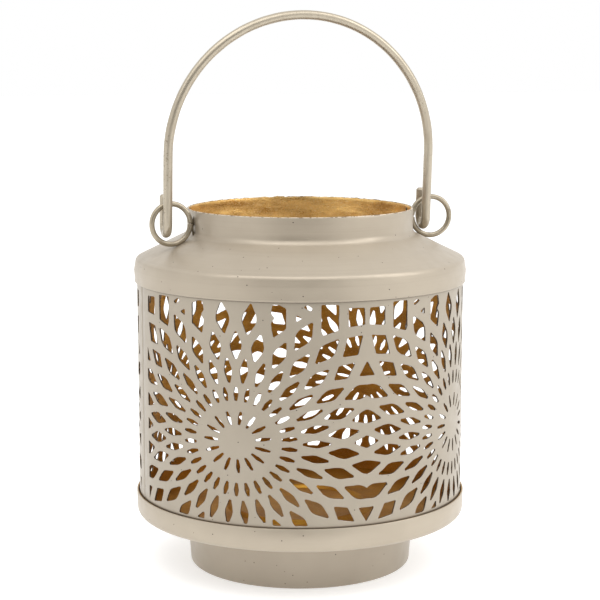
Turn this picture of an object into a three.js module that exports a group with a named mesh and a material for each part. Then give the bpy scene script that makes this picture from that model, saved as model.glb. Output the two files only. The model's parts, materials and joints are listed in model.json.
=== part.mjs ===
// Tealight holder with a pierced sleeve: a foot, a pan, a rolled sleeve cut with four sun patterns, a spun
// shoulder with its neck, two carrying rings and a swinging wire bail.
// Millimetres, +Z up, standing on z = 0 with the body's axis on x = y = 0. The bail swings about an axis
// along X, and the front of the object is -Y.
import * as THREE from 'three';
import { mergeVertices } from 'three/addons/utils/BufferGeometryUtils.js';

const DEG = Math.PI / 180;

// Sheet and clearances
const SHEET = 0.6;            // thickness of the foot, pan, sleeve and shoulder
const GAP = 0.3;              // left between pieces that touch

// Body
const BODY_R = 50;            // outside of the pierced sleeve
const SLEEVE_LENGTH = 2 * Math.PI * BODY_R;  // of the flat sheet, before it is rolled
const ROUND_SEGMENTS = 48;    // facets around every spun piece
const BEND_STEPS = 3;         // facets in each bend of a spun piece's profile

// Foot: a C-section ring
const FOOT_TOP_R = 35.3;
const FOOT_BASE_R = 34.7;
const FOOT_EDGE_R = 0.9;      // bend between its wall and its flanges
const FOOT_FLANGE = 4.5;      // width of the flange at the top and at the base

// Pan: a shallow dish that the sleeve stands in
const PAN_UNDERSIDE_Z = 15.9;
const PAN_LIP_Z = 22.9;
const PAN_CORNER_R = 1.2;
const WALL_R = BODY_R + GAP + SHEET;   // outside of the pan's wall and of the shoulder's skirt
const BEAD_R = 21.3;          // raised bead that centres the tealight
const BEAD_HALF_WIDTH = 1.5;
const BEAD_HEIGHT = 1.1;

// Shoulder: skirt, rounded edge, cone, fillet and neck in one spun sheet
const SKIRT_Z = 88.3;
const SHOULDER_Z = 93.2;        // where the skirt starts to round over
const SHOULDER_EDGE_R = 2.2;
const CONE_SLOPE = 26 * DEG;
const NECK_R = 34.6;
const NECK_FILLET_R = 2.5;
const RIM_Z = 110.1;

// Carrying rings, set a little forward of the middle. The bail swings about the tops of both
const HINGE_Y = -4;
const RING_WIRE = 1.65;
const RING_MEAN_R = 6.05;
const RING_BUTT_GAP = 3 * DEG;  // between the ring's two ends, against the neck
const RING_CENTRE_R = NECK_R + GAP + RING_MEAN_R + RING_WIRE / 2;
const RING_Z = 106.65;
const HINGE_Z = RING_Z + 5.4;  // where the two rings hold the hooks

// Bail: one wire, bent to a half round, two straight legs and two hooks
const BAIL_WIRE = 2.8;
const BAIL_TOP_Z = 169.7;     // outside of the bail when upright
const BAIL_HALF_WIDTH = 41.1;
const BAIL_SIDE_PLAY = -2;    // the bail has slid this far along its rings
const BAIL_LEAN = 4 * DEG;    // it rests this far forward of upright
const HOOK_SPACING = 5.6;     // from the middle of the leg to the middle of the hook's tail
const HOOK_TWIST = 3 * DEG;   // a hook's tail stands this far right of straight behind its leg
const HOOK_BOTTOM_Z = 102.5;
const HOOK_TAIL_Z = 115.1;

const WIRE_SIDES = 10;

// The sun pattern, measured on the flat sheet from the middle of each sun
const SUNS = 4;
const SUN_PITCH = 76.2;
const SUN_HALF = SUN_PITCH / 2;
const SUN_Z = 47.45;
const FIRST_SUN_ANGLE = -39.7 * DEG;  // from the front, towards +X
const CUT_TOP = 39.9;         // the pattern stops this far above the middle of a sun
const CUT_BOTTOM = -23.7;
const STRIP_LEAN = 0.6;       // how far the plain strip's edges lean over the pattern's height
const SUN_RINGS = [
  { count: 15, phase: 9.8, inner: 4.9, outer: 9.0, halfWidth: 0.62, stretch: 1.17 },
  { count: 30, phase: 6, inner: 11.9, outer: 15.9, halfWidth: 0.75, stretch: 1.13 },
  { count: 30, phase: 0, inner: 17.1, outer: 24.2, halfWidth: 1.25, stretch: 1.13 },
  { count: 30, phase: 6, inner: 23.9, outer: 31.9, halfWidth: 1.75, stretch: 1.125 },
  { count: 30, phase: 0, inner: 31.3, outer: 40.1, halfWidth: 2.25, stretch: 1.1, only: [0, 12, 24, 48, 60, 84] },
];

// Openings that fill the corners between the suns. Each is drawn to the right of a sun, and repeated to its
// left. Those marked below are repeated under the sun's middle as well.
const CORNER_OPENINGS = [
  { name: 'leaning', below: true, outline: [[28.2, 18.2], [32.3, 18.7], [34.5, 23.1], [29.5, 22.2]] },
  { name: 'wing', outline: [[30.7, 24.8], [35.3, 25.2], [36.8, 30.8], [32.2, 30.3]] },
  { name: 'tall', outline: [[25.1, 31], [29.6, 32.4], [29.7, 39.7], [24.6, 39.8], [24.6, 32.4]] },
  { name: 'square', outline: [[32.5, 33.3], [37.4, 33.7], [37.3, 38.6], [32.4, 38.7]] },
  { name: 'spur', outline: [[17.5, 34.9], [19.4, 36.0], [17.5, 37.1]] },
  { name: 'sliver', outline: [[19.5, 39.2], [21.8, 37.9], [22.2, 38.9], [20.6, 39.75]] },
  { name: 'notched', outline: [[11, 30.4], [14.7, 33.1], [14.7, 38.9], [12.7, 39.8], [10.9, 39.9], [10.3, 37.3],
                               [11.4, 36], [10.3, 34.6]] },
];
const TENT = [[35.6, 19.1], [40.6, 19.1], [38.1, 23.4]];  // stands on the line between two suns

// ---- small tools ----

function material(color, roughness, metalness) {
  return new THREE.MeshStandardMaterial({ color, roughness, metalness, side: THREE.FrontSide });
}

// Points of an arc in the (radius, z) plane, both ends included.
function arc(centreR, centreZ, radius, fromDeg, toDeg, steps) {
  const points = [];
  for (let i = 0; i <= steps; i += 1) {
    const angle = (fromDeg + (toDeg - fromDeg) * (i / steps)) * DEG;
    points.push([centreR + radius * Math.cos(angle), centreZ + radius * Math.sin(angle)]);
  }
  return points;
}

// The other face of a sheet: the path moved to its left by the sheet's thickness.
function otherFace(path, thickness) {
  const last = path.length - 1;
  return path.map(([r, z], i) => {
    const [r0, z0] = path[Math.max(i - 1, 0)];
    const [r1, z1] = path[Math.min(i + 1, last)];
    const arriving = i === 0 ? unit(r1 - r, z1 - z) : unit(r - r0, z - z0);
    const leaving = i === last ? arriving : unit(r1 - r, z1 - z);
    const along = unit(arriving[0] + leaving[0], arriving[1] + leaving[1]);
    const reach = thickness / (along[0] * leaving[0] + along[1] * leaving[1]);
    return [Math.max(r - along[1] * reach, 0), z + along[0] * reach];
  });
}

function unit(x, y) {
  const length = Math.hypot(x, y) || 1;
  return [x / length, y / length];
}

// A spun piece of sheet: the profile runs along one face and back along the other.
function spunSheet(path, thickness) {
  const loop = [...path, ...otherFace(path, thickness).reverse()];
  loop.push(loop[0]);
  const profile = loop.map(([r, z]) => new THREE.Vector2(r, z));
  const geometry = new THREE.LatheGeometry(profile, ROUND_SEGMENTS);
  geometry.rotateX(Math.PI / 2);
  return closed(geometry);
}

// Welds the vertices and faces the solid outwards.
function closed(geometry) {
  let solid = geometry.clone();
  solid.deleteAttribute('normal');
  solid.deleteAttribute('uv');
  solid = mergeVertices(solid, 1e-4);
  const position = solid.getAttribute('position');
  const index = [...solid.getIndex().array];
  const kept = [];
  let volume = 0;
  for (let i = 0; i < index.length; i += 3) {
    const [a, b, c] = index.slice(i, i + 3);
    if (a === b || b === c || c === a) continue;
    kept.push(a, b, c);
    const corners = [a, b, c].map((k) => new THREE.Vector3().fromBufferAttribute(position, k));
    volume += corners[0].dot(corners[1].cross(corners[2]));
  }
  solid.setIndex(volume < 0 ? kept.reverse() : kept);
  solid.computeVertexNormals();
  return solid;
}

// ---- spun pieces ----

function footRing() {
  const topFlangeZ = PAN_UNDERSIDE_Z - GAP;
  const baseBend = FOOT_BASE_R - FOOT_EDGE_R;
  const topBend = FOOT_TOP_R - FOOT_EDGE_R;
  const path = [
    [baseBend - FOOT_FLANGE, 0],
    ...arc(baseBend, FOOT_EDGE_R, FOOT_EDGE_R, -90, 0, BEND_STEPS),
    ...arc(topBend, topFlangeZ - FOOT_EDGE_R, FOOT_EDGE_R, 0, 90, BEND_STEPS),
    [topBend - FOOT_FLANGE, topFlangeZ],
  ];
  return spunSheet(path, SHEET);
}

function basePan() {
  const bend = WALL_R - PAN_CORNER_R;
  const bead = [];
  const steps = 6;
  for (let i = 0; i <= steps; i += 1) {
    const t = i / steps;
    const rise = BEAD_HEIGHT * Math.sin(t * Math.PI) ** 2;
    bead.push([BEAD_R + BEAD_HALF_WIDTH * (2 * t - 1), PAN_UNDERSIDE_Z + rise]);
  }
  const path = [
    [0, PAN_UNDERSIDE_Z],
    ...bead,
    ...arc(bend, PAN_UNDERSIDE_Z + PAN_CORNER_R, PAN_CORNER_R, -90, 0, BEND_STEPS),
    [WALL_R, PAN_LIP_Z],
  ];
  return spunSheet(path, SHEET);
}

function shoulderCollar() {
  const slope = CONE_SLOPE / DEG;
  const edge = arc(WALL_R - SHOULDER_EDGE_R, SHOULDER_Z, SHOULDER_EDGE_R, 0, 90 - slope, BEND_STEPS);
  const [coneR, coneZ] = edge[edge.length - 1];
  const filletEndR = NECK_R + NECK_FILLET_R * (1 - Math.sin(CONE_SLOPE));
  const filletEndZ = coneZ + (coneR - filletEndR) * Math.tan(CONE_SLOPE);
  const filletZ = filletEndZ + NECK_FILLET_R * Math.cos(CONE_SLOPE);
  const path = [
    [WALL_R, SKIRT_Z],
    ...edge,
    ...arc(NECK_R + NECK_FILLET_R, filletZ, NECK_FILLET_R, 270 - slope, 180, BEND_STEPS),
    [NECK_R, RIM_Z],
  ];
  return spunSheet(path, SHEET);
}

// ---- pierced sleeve ----

// One pointed opening of a sun's ring, as four corners around its radial line.
function lozenge(ring, angleDeg) {
  const middle = (ring.inner + ring.outer) / 2;
  const along = [Math.cos(angleDeg * DEG), Math.sin(angleDeg * DEG)];
  const corners = [[ring.inner, 0], [middle, -ring.halfWidth], [ring.outer, 0], [middle, ring.halfWidth]];
  return corners.map(([out, side]) => [
    (out * along[0] - side * along[1]) * ring.stretch,
    out * along[1] + side * along[0],
  ]);
}

// The part of an outline where axis times sign is at most the limit.
function clip(outline, axis, sign, limit) {
  const kept = [];
  outline.forEach((point, i) => {
    const next = outline[(i + 1) % outline.length];
    const depth = limit - sign * point[axis];
    const nextDepth = limit - sign * next[axis];
    if (depth >= 0) kept.push(point);
    if (depth * nextDepth < 0) {
      const t = depth / (depth - nextDepth);
      const cut = [point[0] + t * (next[0] - point[0]), point[1] + t * (next[1] - point[1])];
      cut[axis] = sign * limit;
      kept.push(cut);
    }
  });
  return kept;
}

function area(outline) {
  let twice = 0;
  outline.forEach(([x, z], i) => {
    const [nextX, nextZ] = outline[(i + 1) % outline.length];
    twice += x * nextZ - nextX * z;
  });
  return Math.abs(twice) / 2;
}

function mirrored(outline, aboutX) {
  return outline.map(([x, z]) => [2 * aboutX - x, z]).reverse();
}

function upsideDown(outline) {
  return outline.map(([x, z]) => [x, -z]).reverse();
}

// Joins an outline that crosses x = SUN_HALF to its own mirror image in the next sun.
function joined(outline) {
  const half = clip(outline, 0, 1, SUN_HALF);
  const onLine = (point) => point[0] === SUN_HALF;
  const start = half.findIndex((point, i) => onLine(point) && onLine(half[(i + half.length - 1) % half.length]));
  const chain = half.map((_, i) => half[(start + i) % half.length]);
  return [...chain, ...mirrored(chain, SUN_HALF).slice(1, -1)];
}

// The openings of one sun: those inside its panel, and those that cross its right-hand edge.
function sunOpenings() {
  const inside = [];
  const crossing = [];
  const smallest = 1.5;
  for (const ring of SUN_RINGS) {
    for (let i = 0; i < ring.count; i += 1) {
      const angle = ring.phase + (360 / ring.count) * i;
      const fold = Math.round(Math.min(angle % 180, 180 - (angle % 180)));
      if (ring.only && !ring.only.includes(fold)) continue;
      const outline = clip(clip(lozenge(ring, angle), 1, -1, -CUT_BOTTOM), 1, 1, CUT_TOP);
      if (outline.length < 3 || area(outline) < smallest) continue;
      if (Math.max(...outline.map(([x]) => x)) > SUN_HALF) crossing.push(outline);
      else if (Math.min(...outline.map(([x]) => x)) >= -SUN_HALF) inside.push(outline);
    }
  }
  for (const { outline, below } of CORNER_OPENINGS) {
    inside.push(outline, mirrored(outline, 0));
    if (below) inside.push(upsideDown(outline), upsideDown(mirrored(outline, 0)));
  }
  return { inside, crossing };
}

// What is left of an outline that crosses a sun's right-hand edge where the plain strip takes the rest.
function beforeStrip(outline) {
  const middleZ = outline.reduce((sum, [, z]) => sum + z, 0) / outline.length;
  const lean = STRIP_LEAN * (middleZ - CUT_BOTTOM) / (CUT_TOP - CUT_BOTTOM);
  return clip(outline, 0, 1, SUN_HALF - lean);
}

// The triangulation leaves out a point that lies on the straight line between its neighbours, which would open
// the sheet. Corners at one height are common here, so it is given the flat sheet a little waisted.
function waisted([x, z]) {
  const depth = 0.04;
  const t = x / SLEEVE_LENGTH;
  return new THREE.Vector2(x, SUN_Z + (z - SUN_Z) * (1 - depth * t * (1 - t)));
}

// Turns the shared edge of each two triangles until none of them is longer round the body than it need be, so
// that the rolled sheet follows its curve. The sheet is only bent along x, so z counts for less.
function evened(triangles, points) {
  const zWeight = 0.5;
  const count = points.length;
  const edgeOf = (a, b) => Math.min(a, b) * count + Math.max(a, b);
  const turn = (a, b, c) => {
    const [ax, az] = [points[a][0] - points[c][0], (points[a][1] - points[c][1]) * zWeight];
    const [bx, bz] = [points[b][0] - points[c][0], (points[b][1] - points[c][1]) * zWeight];
    return { dot: ax * bx + az * bz, cross: ax * bz - az * bx };
  };
  const cotangent = ({ dot, cross }) => dot / Math.max(Math.abs(cross), 1e-9);
  const beside = new Map();
  const attach = (t) => triangles[t].forEach((a, k) => {
    const edge = edgeOf(a, triangles[t][(k + 1) % 3]);
    if (!beside.has(edge)) beside.set(edge, new Set());
    beside.get(edge).add(t);
  });
  const detach = (t) => triangles[t].forEach((a, k) => beside.get(edgeOf(a, triangles[t][(k + 1) % 3])).delete(t));
  triangles.forEach((_, t) => attach(t));

  const waiting = [...beside.keys()];
  while (waiting.length > 0) {
    const edge = waiting.pop();
    if (beside.get(edge).size !== 2) continue;
    const [t, u] = beside.get(edge);
    const ends = [Math.floor(edge / count), edge % count];
    const k = triangles[t].findIndex((corner) => !ends.includes(corner));
    const c = triangles[t][k];
    const a = triangles[t][(k + 1) % 3];
    const b = triangles[t][(k + 2) % 3];
    const d = triangles[u].find((corner) => !ends.includes(corner));
    if (cotangent(turn(a, b, c)) + cotangent(turn(a, b, d)) > -1e-6) continue;
    detach(t);
    detach(u);
    triangles[t] = [a, d, c];
    triangles[u] = [d, b, c];
    attach(t);
    attach(u);
    waiting.push(edgeOf(a, d), edgeOf(d, b), edgeOf(b, c), edgeOf(c, a));
  }
  return triangles;
}

// Rolls a flat sheet round the body's axis, its outer face at BODY_R, and meets its two ends at the seam.
function rolledSheet(outline, holes, startAngle) {
  const points = [outline, ...holes].flat();
  const count = points.length;
  const flat = THREE.ShapeUtils.triangulateShape(outline.map(waisted), holes.map((hole) => hole.map(waisted)));
  const triangles = evened(flat, points);

  const positions = [];
  for (const radius of [BODY_R, BODY_R - SHEET]) {
    for (const [x, z] of points) {
      const angle = startAngle + (x === SLEEVE_LENGTH ? 0 : x / BODY_R);
      positions.push(radius * Math.sin(angle), -radius * Math.cos(angle), z);
    }
  }
  const used = new Set(triangles.flatMap(([a, b, c]) => [a * count + b, b * count + c, c * count + a]));
  const atSeam = (a, b) => points[a][0] === points[b][0] && [0, SLEEVE_LENGTH].includes(points[a][0]);
  const index = [];
  for (const [a, b, c] of triangles) {
    index.push(a, b, c, a + count, c + count, b + count);
    for (const [from, to] of [[a, b], [b, c], [c, a]]) {
      if (used.has(to * count + from) || atSeam(from, to)) continue;
      index.push(to, from, from + count, to, from + count, to + count);
    }
  }
  const geometry = new THREE.BufferGeometry();
  geometry.setAttribute('position', new THREE.Float32BufferAttribute(positions, 3));
  geometry.setIndex(index);
  return closed(geometry);
}

// Laid flat, x runs along the sheet and z up it. The seam lies in the plain strip between two suns.
function perforatedSleeve() {
  const plainStrip = SLEEVE_LENGTH - SUNS * SUN_PITCH;
  const edgeSteps = 64;
  const bottom = [];
  const top = [];
  for (let i = 0; i <= edgeSteps; i += 1) {
    const x = SLEEVE_LENGTH * (i / edgeSteps);
    bottom.push([x, PAN_UNDERSIDE_Z + SHEET + GAP]);
    top.push([x, SHOULDER_Z]);
  }

  const { inside, crossing } = sunOpenings();
  crossing.push(TENT, upsideDown(TENT));
  const holes = [];
  const cut = (outline, sunX) => holes.push(outline.map(([x, z]) => [sunX + x, SUN_Z + z]));
  for (let sun = 0; sun < SUNS; sun += 1) {
    const sunX = plainStrip / 2 + SUN_PITCH * (sun + 0.5);
    const last = sun === SUNS - 1;
    inside.forEach((outline) => cut(outline, sunX));
    crossing.forEach((outline) => cut(last ? beforeStrip(outline) : joined(outline), sunX));
    if (sun === 0) crossing.forEach((outline) => cut(mirrored(beforeStrip(outline), 0), sunX));
  }
  const startAngle = FIRST_SUN_ANGLE - (plainStrip / 2 + SUN_HALF) / BODY_R;
  return rolledSheet([...bottom, ...top.reverse()], holes, startAngle);
}

// ---- bent wire ----

// A wire's middle line, given as stations that each hold a point and the wire's direction there.
class WirePath extends THREE.Curve {
  constructor(stations) {
    super();
    this.stations = stations;
  }

  nearest(t) {
    return this.stations[Math.round(t * (this.stations.length - 1))];
  }

  getPoint(t) {
    return this.nearest(t).point.clone();
  }

  getPointAt(t) {
    return this.getPoint(t);
  }

  getTangentAt(t) {
    return this.nearest(t).along.clone().normalize();
  }
}

function wire(stations, diameter) {
  const section = new THREE.Shape();
  for (let i = 0; i < WIRE_SIDES; i += 1) {
    const angle = (2 * Math.PI * i) / WIRE_SIDES;
    const x = (diameter / 2) * Math.cos(angle);
    const y = (diameter / 2) * Math.sin(angle);
    if (i === 0) section.moveTo(x, y);
    else section.lineTo(x, y);
  }
  const extrudePath = new WirePath(stations);
  const steps = stations.length - 1;
  return closed(new THREE.ExtrudeGeometry(section, { steps, bevelEnabled: false, extrudePath }));
}

// Stations on an arc about a centre, in the plane of the unit vectors u and v.
function bend(centre, radius, u, v, fromDeg, toDeg, steps) {
  const stations = [];
  const way = Math.sign(toDeg - fromDeg);
  for (let i = 0; i <= steps; i += 1) {
    const angle = (fromDeg + (toDeg - fromDeg) * (i / steps)) * DEG;
    const point = centre.clone()
      .addScaledVector(u, radius * Math.cos(angle))
      .addScaledVector(v, radius * Math.sin(angle));
    const along = new THREE.Vector3()
      .addScaledVector(u, -way * Math.sin(angle))
      .addScaledVector(v, way * Math.cos(angle));
    stations.push({ point, along });
  }
  return stations;
}

// A ring of bent wire standing against the neck, its two ends meeting there.
function carryingRing(side) {
  const y = HINGE_Y;
  const x = side * Math.sqrt(RING_CENTRE_R ** 2 - y ** 2);
  const centre = new THREE.Vector3(x, y, RING_Z);
  const outward = new THREE.Vector3(x, y, 0).normalize();
  const up = new THREE.Vector3(0, 0, 1);
  const gapDeg = RING_BUTT_GAP / DEG;
  const stations = bend(centre, RING_MEAN_R, outward, up, -180 + gapDeg / 2, 180 - gapDeg / 2, 30);
  return wire(stations, RING_WIRE);
}

// The bail from one hook's tail, up its leg, over the top and down to the other hook. It is bent upright, and
// then leans about its hinge.
function bailHandle() {
  const up = new THREE.Vector3(0, 0, 1);
  const right = new THREE.Vector3(1, 0, 0);
  const back = new THREE.Vector3(Math.sin(HOOK_TWIST), Math.cos(HOOK_TWIST), 0);
  const hookR = HOOK_SPACING / 2;
  const hookZ = HOOK_BOTTOM_Z + BAIL_WIRE / 2 + hookR;
  const archZ = BAIL_TOP_Z - BAIL_WIRE / 2 - BAIL_HALF_WIDTH;
  const onHinge = (side, z) => new THREE.Vector3(BAIL_SIDE_PLAY + side * BAIL_HALF_WIDTH, HINGE_Y, z);
  const hook = (side, fromDeg, toDeg) => bend(onHinge(side, hookZ), hookR, back, up, fromDeg, toDeg, 6);
  const tail = (side, way) => ({
    point: onHinge(side, HOOK_TAIL_Z).addScaledVector(back, hookR),
    along: up.clone().multiplyScalar(way),
  });
  const archCentre = onHinge(0, archZ).addScaledVector(back, -hookR);
  const stations = [
    tail(-1, -1),
    ...hook(-1, 0, -180),
    ...bend(archCentre, BAIL_HALF_WIDTH, right, up, 180, 0, 32),
    ...hook(1, -180, 0),
    tail(1, 1),
  ];
  const upright = wire(stations, BAIL_WIRE);
  return upright.translate(0, -HINGE_Y, -HINGE_Z).rotateX(BAIL_LEAN).translate(0, HINGE_Y, HINGE_Z);
}

// ---- assembly ----

function addPiece(group, name, geometry, color, roughness, metalness) {
  const mesh = new THREE.Mesh(geometry, material(color, roughness, metalness));
  mesh.name = name;
  group.add(mesh);
}

const holder = new THREE.Group();
holder.name = 'tealight_holder';
addPiece(holder, 'foot_ring', footRing(), 0xb3a892, 0.55, 0.25);
addPiece(holder, 'base_pan', basePan(), 0xb8ad98, 0.55, 0.25);
addPiece(holder, 'perforated_sleeve', perforatedSleeve(), 0xbdb29d, 0.55, 0.25);
addPiece(holder, 'shoulder_collar', shoulderCollar(), 0xbfb4a0, 0.5, 0.25);
addPiece(holder, 'left_ring', carryingRing(-1), 0xa39a80, 0.5, 0.4);
addPiece(holder, 'right_ring', carryingRing(1), 0xa39a80, 0.5, 0.4);
addPiece(holder, 'bail_handle', bailHandle(), 0xb7ad97, 0.5, 0.3);

export default holder;
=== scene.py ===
"""Looks for the pierced tealight holder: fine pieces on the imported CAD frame, materials, light and camera.

Lengths are in metres with +Z up, apart from the sun pattern, which is in millimetres on the flat sheet.
Each piece takes its place and size from the CAD node it stands for.
"""
import json
import math

import bmesh
import bpy
from mathutils import Matrix, Vector, noise
from mathutils.geometry import delaunay_2d_cdt


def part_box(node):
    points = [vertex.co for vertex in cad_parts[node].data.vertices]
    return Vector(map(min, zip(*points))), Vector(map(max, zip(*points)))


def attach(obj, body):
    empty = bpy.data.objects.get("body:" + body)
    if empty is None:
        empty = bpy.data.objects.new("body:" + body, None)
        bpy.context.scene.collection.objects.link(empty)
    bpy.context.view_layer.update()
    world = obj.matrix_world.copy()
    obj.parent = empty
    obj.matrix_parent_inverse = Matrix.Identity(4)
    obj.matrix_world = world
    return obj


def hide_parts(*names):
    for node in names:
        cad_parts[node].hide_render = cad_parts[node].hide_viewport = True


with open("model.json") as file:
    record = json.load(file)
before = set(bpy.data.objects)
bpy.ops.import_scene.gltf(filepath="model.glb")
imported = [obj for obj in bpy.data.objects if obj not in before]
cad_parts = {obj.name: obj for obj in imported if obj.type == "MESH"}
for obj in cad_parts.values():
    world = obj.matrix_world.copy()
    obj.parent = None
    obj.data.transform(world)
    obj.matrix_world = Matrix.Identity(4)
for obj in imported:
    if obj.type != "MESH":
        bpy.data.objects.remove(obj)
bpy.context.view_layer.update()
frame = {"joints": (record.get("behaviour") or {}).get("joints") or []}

MM = 0.001

# Sheet
SHEET = 0.6 * MM
EDGE_BULGE = 0.6                 # of a sheet's rounded edge, as a share of a half round
ROUND_STEPS = 240                # facets around a spun piece
OUTSIDE, INSIDE, BARE = 0, 1, 2  # material numbers: outer face, inner face, cut edge

# Foot, pan and shoulder, fitted into their CAD boxes
FOOT_TAPER = 1.1 * MM
FOOT_FLANGE = 4.5 * MM
FOOT_EDGE_R = 0.9 * MM
PAN_CORNER_R = 1.9 * MM
PAN_FLARE = 0.25 * MM            # the pan's wall leans out by this
BEAD_R = 21.3 * MM
BEAD_HALF_WIDTH = 1.5 * MM
BEAD_HEIGHT = 1.1 * MM
BEAD_STEPS = 12
HEM_LIP = 0.12 * MM              # the hem's last edge is turned out by this
HEM_LIP_HEIGHT = 0.5 * MM
HEM_R = 0.6 * MM
SKIRT_TAPER = 0.3 * MM           # the skirt is this much narrower at its hem
SKIRT_HEIGHT = 3.2 * MM          # from the hem to the skirt's widest line
SKIRT_R = 9 * MM                 # of its bulge there
SHOULDER_RISE = 6.8 * MM         # from the hem to the corner between skirt and cone
SHOULDER_INSET = 0.6 * MM        # from the widest line in to that corner
SHOULDER_R = 1.7 * MM
CONE_SLOPE = math.radians(26)
NECK_R = 34.6 * MM
NECK_FILLET_R = 2.4 * MM         # between cone and neck
NECK_WAIST = 0.05 * MM           # the neck is this much narrower just above the cone
NECK_WAIST_HEIGHT = 3.4 * MM
NECK_SWELL = 0.1 * MM            # and this much wider a little higher
NECK_SWELL_HEIGHT = 4.6 * MM
NECK_BEND_R = 1.5 * MM

# The neck's hand-trimmed rim
RIM_DEPTH = 1.6 * MM             # how far down the neck the trimming shows
RIM_LIFT = 0.4 * MM              # it stands this much higher at the back
RIM_ROUGHNESS = 0.22 * MM
RIM_SLOW_WAVES = 800             # to a metre
RIM_QUICK_WAVES = 2400
RIM_QUICK_SHARE = 0.7            # height of the quick waves beside the slow ones
RIM_FRONT_SHARE = 0.12           # of the roughness is left in front

# Wires
WIRE_SIDES = 20
WIRE_CHAMFER = 0.18              # at both ends, as a share of the wire's diameter
WIRE_LUMPS = 350                 # to a metre
WIRE_SUNK = 0.7                  # sinks the lumps, so that the wire keeps inside its diameter
WIRE_ROUGHNESS = 0.04 * MM
RING_WIRE = 1.65 * MM
RING_GAP = math.radians(0.7)     # half the gap between a ring's two ends
RING_STEPS = 72
SOLDER_WIDTH = 1.5 * MM
SOLDER_HALF_HEIGHT = 4.2 * MM
SOLDER_DROP = 1.5 * MM           # its middle is this far below the ring's
SOLDER_PROUD = 0.35              # its middle stands this share of its width outside the neck
SOLDER_CURVE = 0.8               # and its ends are this share further in
SOLDER_ROUGHNESS = 0.5 * MM
SOLDER_STEPS = 20

# Bail, upright and measured from its CAD hinge
BAIL_WIRE = 2.8 * MM
BAIL_SIDE_PLAY = -2 * MM
BAIL_HALF_WIDTH = 41.1 * MM
BAIL_TOP = 57.65 * MM            # above the hinge, to the outside of the wire
BAIL_LEAN = math.radians(4)      # it rests this far forward of upright
HOOK_SPACING = 5.6 * MM
HOOK_TWIST = math.radians(3)
HOOK_BOTTOM = -9.55 * MM
HOOK_TAIL = 3.05 * MM
HOOK_STEPS = 20
LEG_STEPS = 10
ARCH_STEPS = 96

# Sun pattern on the flat sheet, in millimetres from the middle of each sun
SUNS = 4
SUN_PITCH = 76.2
SUN_HALF = SUN_PITCH / 2
SUN_HEIGHT = 30.65               # above the sleeve's lower edge
FIRST_SUN_ANGLE = math.radians(-39.7)   # from the front, towards +X
CUT_TOP = 39.9                   # the petals are cut off level here
CUT_BOTTOM = -23.7               # and here
SUN_RINGS = [
    # half_width is at an opening's waist and half_tip at its two ends. kept lists the angles that have one.
    dict(count=15, phase=9.8, inner=5.0, outer=9.0, half_width=0.52, half_tip=0.3, stretch=1.17, kept=None),
    dict(count=30, phase=6, inner=11.9, outer=15.9, half_width=0.68, half_tip=0.34, stretch=1.13, kept=None),
    dict(count=30, phase=0, inner=17.1, outer=24.2, half_width=1.22, half_tip=0.32, stretch=1.13, kept=None),
    dict(count=30, phase=6, inner=23.9, outer=31.9, half_width=1.88, half_tip=0.26, stretch=1.125, kept=None),
    dict(count=30, phase=0, inner=31.3, outer=40.1, half_width=2.4, half_tip=0.26, stretch=1.1,
         kept=(0, 12, 24, 48, 60, 84)),
]
CORNER_OPENINGS = [
    # whether it is also under the sun's middle, and its outline to the right of the sun
    (True, [(28.2, 18.2), (32.3, 18.7), (34.5, 23.1), (29.5, 22.2)]),
    (False, [(30.7, 24.8), (35.3, 25.2), (36.8, 30.8), (32.2, 30.3)]),
    (False, [(25.1, 31), (29.6, 32.4), (29.7, 39.7), (24.6, 39.8), (24.6, 32.4)]),
    (False, [(32.5, 33.3), (37.4, 33.7), (37.3, 38.6), (32.4, 38.7)]),
    (False, [(17.5, 34.9), (19.4, 36.0), (17.5, 37.1)]),
    (False, [(19.5, 39.2), (21.8, 37.9), (22.2, 38.9), (20.6, 39.75)]),
    (False, [(11, 30.4), (14.7, 33.1), (14.7, 38.9), (12.7, 39.8), (10.9, 39.9), (10.3, 37.3),
             (11.4, 36), (10.3, 34.6)]),
]
TENT = [(35.6, 19.1), (40.6, 19.1), (38.1, 23.4)]   # stands on the line between two suns
SMALLEST_OPENING = 1.8           # square millimetres
TIP_R = 0.35                     # at both ends of a petal
WAIST_R = 3.5                    # at its waist
CORNER_R = 0.6                   # at the corners of the other openings, less at sharp ones
EDGE_STEP = 0.55                 # between the points of an opening's edge
EDGE_WANDER = 0.075              # how far a cut edge strays
EDGE_SLOW_WAVES = 0.9            # to a millimetre
EDGE_QUICK_WAVES = 2.9
EDGE_QUICK_SHARE = 0.8           # reach of the quick waves beside the slow ones

# The sheet rolled into the sleeve
SHEET_COLUMNS = 150
SHEET_ROWS = 26
SEAM_HALF_WIDTH = 0.45           # millimetres, of the groove where the sheet's two ends meet
SEAM_DEPTH = 0.3 * MM
EDGE_BEVEL = 0.08 * MM           # paint rounds the cut edges by this

# How finely outlines and meshes are made
PETAL_ARC_STEP = 12              # degrees in each facet of an arc
SHOULDER_ARC_STEP = 6
CUT_ARC_STEP = 35
STRAIGHT = math.radians(78)      # a corner flatter than twice this isn't rounded
LONGEST_ARC = 0.48               # of the shorter side next to a corner goes to its arc
LEAST_MITRE = 0.5                # keeps an offset corner from reaching further than twice the offset
SHARP = math.radians(35)         # faces that meet at more than this show a crisp edge
SAME_PLACE = 1e-6                # points nearer than this are one, in metres or in millimetres
TINY = 1e-7                      # and an edge shorter than this is nothing
INSIDE_LOOPS = 1                 # asks the triangulation for what is inside its loops only

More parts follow.
